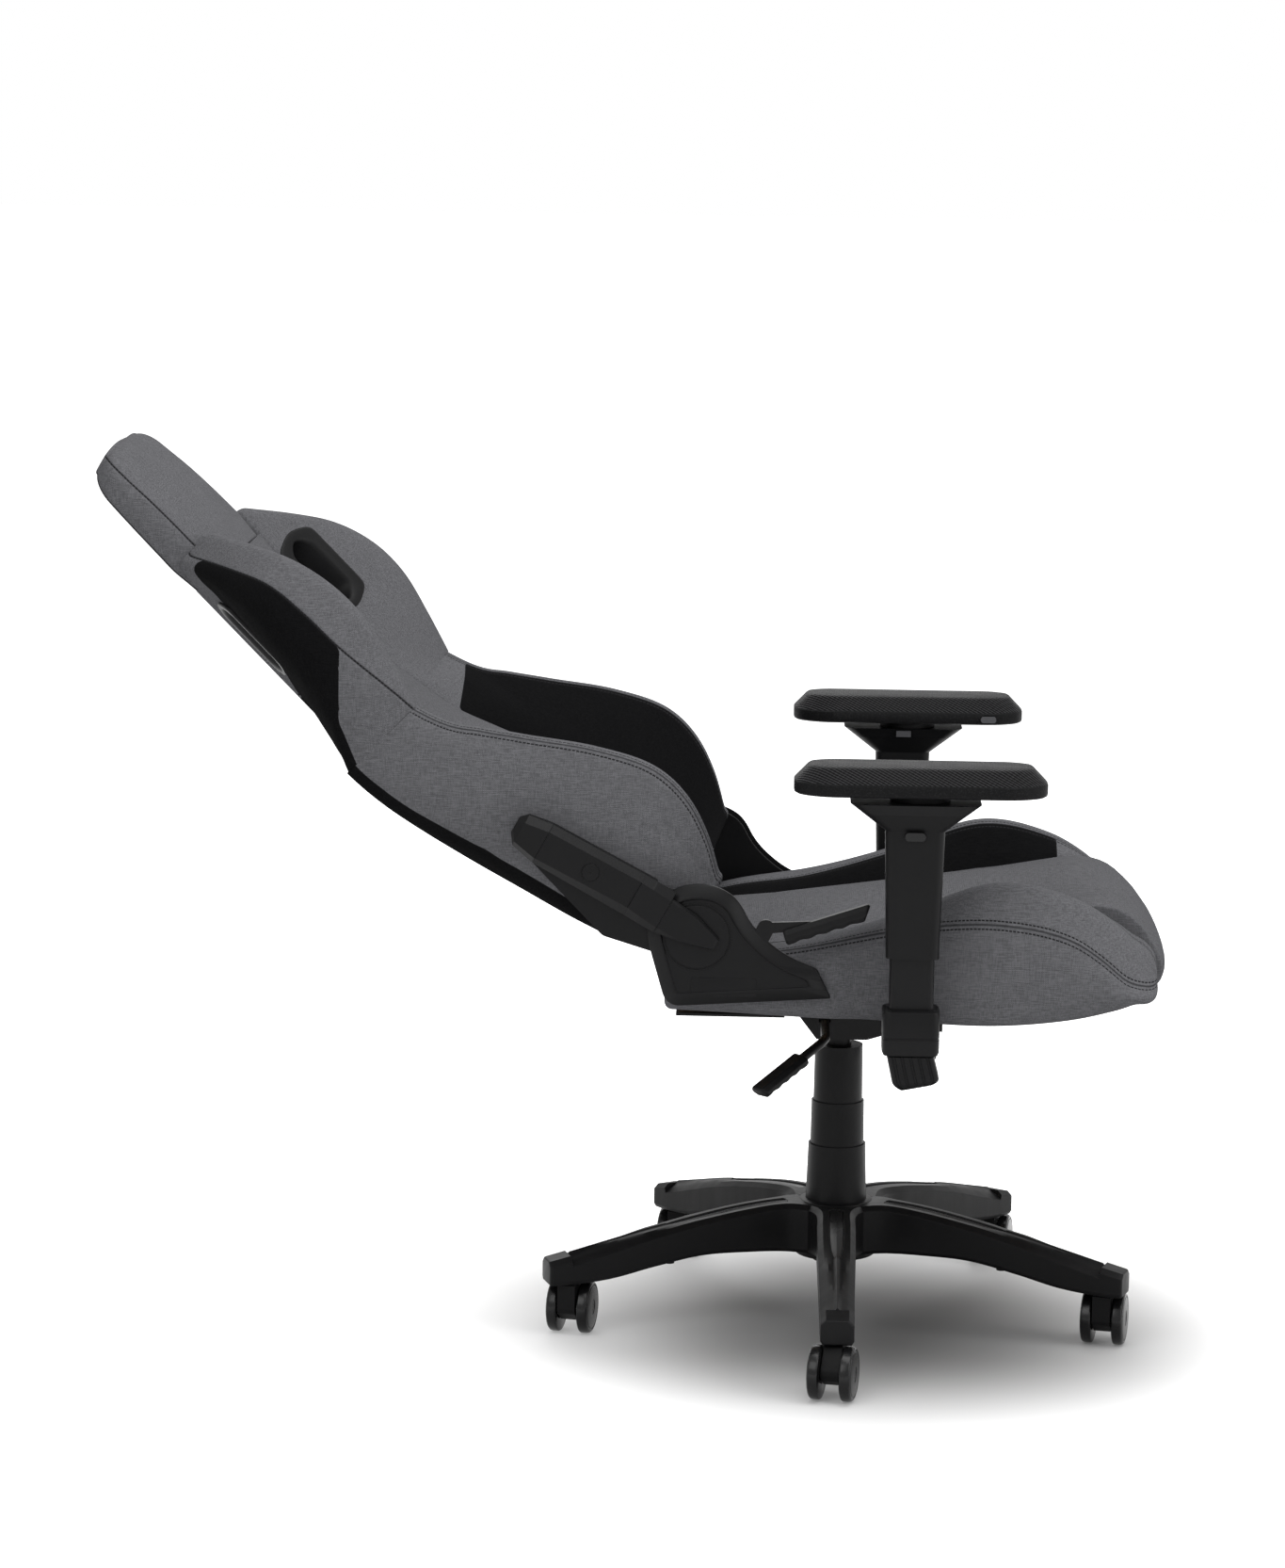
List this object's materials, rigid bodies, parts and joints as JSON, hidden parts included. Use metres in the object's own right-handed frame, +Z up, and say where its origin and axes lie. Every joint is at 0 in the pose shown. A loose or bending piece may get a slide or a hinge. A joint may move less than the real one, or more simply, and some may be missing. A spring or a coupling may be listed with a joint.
{
  "type": "gaming chair",
  "caption": "Fabric gaming chair with a reclining winged back, bucket seat, adjustable armrests, gas lift and star base on twin-wheel castors.",
  "frame": {"origin": "on the floor, under the axis of the gas column", "axes": "+X the way the sitter faces, +Y to the sitter's left, +Z up"},
  "size_m": [1.1848, 0.6987, 0.9844],
  "materials": {
    "nylon_black": "satin",
    "castor_black": "gloss",
    "steel_black": "satin",
    "steel_bright": "satin",
    "steel_polished": "polished",
    "fabric_grey": "matte",
    "fabric_black": "matte",
    "plywood": "matte",
    "rubber_black": "matte",
    "pad_black": "matte",
    "button_grey": "satin"
  },
  "bodies": {
    "base": {"star_base": "nylon_black", "castor_stems": "steel_bright", "stand_tube": "steel_black", "guide_bush": "nylon_black", "piston_rod": "steel_bright", "sleeve_lower": "nylon_black"},
    "sleeve": {"sleeve_middle": "nylon_black"},
    "column": {"gas_spring": "steel_polished", "sleeve_upper": "nylon_black"},
    "release": {"release_button": "steel_bright"},
    "mechanism": {"mechanism_housing": "steel_black", "tilt_pin": "steel_bright", "tilt_buffer": "rubber_black"},
    "lift_lever": {"lift_lever": "steel_black", "lift_lever_grip": "nylon_black"},
    "seat": {"mechanism_plate": "steel_black", "seat_pan": "plywood", "seat_bolts": "steel_bright", "seat_cushion": "fabric_grey", "seat_bolsters": "fabric_grey", "hinge_seat_plates": "steel_black", "hinge_covers": "nylon_black", "arm_brackets": "steel_black", "arm_collars": "nylon_black", "arm_inner_tubes": "steel_black"},
    "tension_knob": {"tension_knob": "nylon_black"},
    "recline_lever": {"recline_lever": "steel_black", "recline_lever_grip": "nylon_black"},
    "backrest": {"back_frame": "steel_black", "back_rear_panel": "fabric_black", "back_pad": "fabric_grey", "headrest_pad": "fabric_grey", "lumbar_bolsters": "fabric_grey", "shoulder_wings": "fabric_grey", "slot_bezels": "nylon_black", "hinge_arm_covers": "nylon_black"},
    "arm_post_right": {"arm_post_right": "nylon_black"},
    "arm_trigger_right": {"arm_trigger_right": "button_grey"},
    "arm_plate_right": {"arm_plate_right": "nylon_black"},
    "arm_plate_button_right": {"arm_plate_button_right": "button_grey"},
    "arm_turntable_right": {"arm_turntable_right": "nylon_black"},
    "arm_pad_right": {"arm_pad_right": "pad_black"},
    "arm_pad_button_right": {"arm_pad_button_right": "button_grey"},
    "arm_post_left": {"arm_post_left": "nylon_black"},
    "arm_trigger_left": {"arm_trigger_left": "button_grey"},
    "arm_plate_left": {"arm_plate_left": "nylon_black"},
    "arm_plate_button_left": {"arm_plate_button_left": "button_grey"},
    "arm_turntable_left": {"arm_turntable_left": "nylon_black"},
    "arm_pad_left": {"arm_pad_left": "pad_black"},
    "arm_pad_button_left": {"arm_pad_button_left": "button_grey"},
    "castor_1": {"castor_1_fork": "castor_black"},
    "castor_1_wheels": {"castor_1_wheels": "castor_black"},
    "castor_2": {"castor_2_fork": "castor_black"},
    "castor_2_wheels": {"castor_2_wheels": "castor_black"},
    "castor_3": {"castor_3_fork": "castor_black"},
    "castor_3_wheels": {"castor_3_wheels": "castor_black"},
    "castor_4": {"castor_4_fork": "castor_black"},
    "castor_4_wheels": {"castor_4_wheels": "castor_black"},
    "castor_5": {"castor_5_fork": "castor_black"},
    "castor_5_wheels": {"castor_5_wheels": "castor_black"}
  },
  "joints": [
    {"name": "recline", "type": "hinge", "parent": "seat", "child": "backrest", "pos_m": [-0.157, 0, 0.49], "axis": [0, 1, 0], "range_deg": [0, 45]},
    {"name": "tilt", "type": "hinge", "parent": "mechanism", "child": "seat", "pos_m": [0.048, 0, 0.366], "axis": [0, -1, 0], "range_deg": [0, 12], "stiffness_Nm_per_rad": 260, "springref_deg": -22.92, "deforming": ["tilt_buffer"]},
    {"name": "lift", "type": "slide", "parent": "base", "child": "column", "axis": [0, 0, 1], "range_m": [-0.08, 0.01]},
    {"name": "sleeve_follow", "type": "slide", "parent": "base", "child": "sleeve", "axis": [0, 0, 1], "range_m": [-0.04, 0.005]},
    {"name": "seat_swivel", "type": "hinge", "parent": "column", "child": "mechanism", "pos_m": [0, 0, 0.356], "axis": [0, 0, 1], "continuous": true},
    {"name": "lift_lever_lift", "type": "hinge", "parent": "mechanism", "child": "lift_lever", "pos_m": [-0.017, -0.048, 0.357], "axis": [-1, 0, 0], "range_deg": [0, 6], "stiffness_Nm_per_rad": 20, "springref_deg": -5.73},
    {"name": "release_press", "type": "slide", "parent": "column", "child": "release", "axis": [0, 0, 1], "range_m": [-0.0062, 0]},
    {"name": "recline_lever_lift", "type": "hinge", "parent": "seat", "child": "recline_lever", "pos_m": [-0.108, -0.279, 0.452], "axis": [0, -1, 0], "range_deg": [0, 16], "stiffness_Nm_per_rad": 4, "springref_deg": -17.19},
    {"name": "arm_height_right", "type": "slide", "parent": "seat", "child": "arm_post_right", "axis": [0, 0, 1], "range_m": [-0.05, 0.025]},
    {"name": "arm_width_right", "type": "slide", "parent": "arm_post_right", "child": "arm_plate_right", "axis": [0, -1, 0], "range_m": [-0.012, 0.012]},
    {"name": "arm_turn_right", "type": "hinge", "parent": "arm_plate_right", "child": "arm_turntable_right", "pos_m": [0.0765, -0.285, 0.646], "axis": [0, 0, 1], "range_deg": [-20, 20]},
    {"name": "arm_reach_right", "type": "slide", "parent": "arm_turntable_right", "child": "arm_pad_right", "axis": [1, 0, 0], "range_m": [-0.03, 0.03]},
    {"name": "arm_trigger_press_right", "type": "slide", "parent": "arm_post_right", "child": "arm_trigger_right", "axis": [0, 1, 0], "range_m": [0, 0.003], "stiffness_N_per_m": 800, "springref_m": -0.002},
    {"name": "arm_plate_button_press_right", "type": "slide", "parent": "arm_plate_right", "child": "arm_plate_button_right", "axis": [0, -1, 0], "range_m": [0, 0.002], "stiffness_N_per_m": 800, "springref_m": -0.002},
    {"name": "arm_pad_button_press_right", "type": "slide", "parent": "arm_pad_right", "child": "arm_pad_button_right", "axis": [0, -1, 0], "range_m": [0, 0.002], "stiffness_N_per_m": 800, "springref_m": -0.002},
    {"name": "arm_height_left", "type": "slide", "parent": "seat", "child": "arm_post_left", "axis": [0, 0, 1], "range_m": [-0.05, 0.025]},
    {"name": "arm_width_left", "type": "slide", "parent": "arm_post_left", "child": "arm_plate_left", "axis": [0, 1, 0], "range_m": [-0.012, 0.012]},
    {"name": "arm_turn_left", "type": "hinge", "parent": "arm_plate_left", "child": "arm_turntable_left", "pos_m": [0.0765, 0.285, 0.646], "axis": [0, 0, 1], "range_deg": [-20, 20]},
    {"name": "arm_reach_left", "type": "slide", "parent": "arm_turntable_left", "child": "arm_pad_left", "axis": [1, 0, 0], "range_m": [-0.03, 0.03]},
    {"name": "arm_trigger_press_left", "type": "slide", "parent": "arm_post_left", "child": "arm_trigger_left", "axis": [0, -1, 0], "range_m": [0, 0.003], "stiffness_N_per_m": 800, "springref_m": -0.002},
    {"name": "arm_plate_button_press_left", "type": "slide", "parent": "arm_plate_left", "child": "arm_plate_button_left", "axis": [0, 1, 0], "range_m": [0, 0.002], "stiffness_N_per_m": 800, "springref_m": -0.002},
    {"name": "arm_pad_button_press_left", "type": "slide", "parent": "arm_pad_left", "child": "arm_pad_button_left", "axis": [0, 1, 0], "range_m": [0, 0.002], "stiffness_N_per_m": 800, "springref_m": -0.002},
    {"name": "tension_knob_turn", "type": "hinge", "parent": "seat", "child": "tension_knob", "pos_m": [0.088, 0, 0.31], "axis": [0, 0, 1], "continuous": true},
    {"name": "castor_1_swivel", "type": "hinge", "parent": "base", "child": "castor_1", "pos_m": [0, -0.313, 0.06], "axis": [0, 0, 1], "continuous": true},
    {"name": "castor_1_roll", "type": "hinge", "parent": "castor_1", "child": "castor_1_wheels", "pos_m": [-0.00374, -0.33061, 0.0295], "axis": [0.9781, -0.2079, 0], "continuous": true},
    {"name": "castor_2_swivel", "type": "hinge", "parent": "base", "child": "castor_2", "pos_m": [0.29768, -0.09672, 0.06], "axis": [0, 0, 1], "continuous": true},
    {"name": "castor_2_roll", "type": "hinge", "parent": "castor_2", "child": "castor_2_wheels", "pos_m": [0.30142, -0.07912, 0.0295], "axis": [-0.9781, 0.2079, 0], "continuous": true},
    {"name": "castor_3_swivel", "type": "hinge", "parent": "base", "child": "castor_3", "pos_m": [0.18398, 0.25322, 0.06], "axis": [0, 0, 1], "continuous": true},
    {"name": "castor_3_roll", "type": "hinge", "parent": "castor_3", "child": "castor_3_wheels", "pos_m": [0.18772, 0.27083, 0.0295], "axis": [-0.9781, 0.2079, 0], "continuous": true},
    {"name": "castor_4_swivel", "type": "hinge", "parent": "base", "child": "castor_4", "pos_m": [-0.18398, 0.25322, 0.06], "axis": [0, 0, 1], "continuous": true},
    {"name": "castor_4_roll", "type": "hinge", "parent": "castor_4", "child": "castor_4_wheels", "pos_m": [-0.18023, 0.27083, 0.0295], "axis": [-0.9781, 0.2079, 0], "continuous": true},
    {"name": "castor_5_swivel", "type": "hinge", "parent": "base", "child": "castor_5", "pos_m": [-0.29768, -0.09672, 0.06], "axis": [0, 0, 1], "continuous": true},
    {"name": "castor_5_roll", "type": "hinge", "parent": "castor_5", "child": "castor_5_wheels", "pos_m": [-0.29394, -0.07912, 0.0295], "axis": [-0.9781, 0.2079, 0], "continuous": true}
  ],
  "couplings": [
    {"joint": "sleeve_follow", "follows": "lift", "ratio": 0.5},
    {"joint": "release_press", "follows": "lift_lever_lift", "m_per_rad": -0.0565}
  ]
}
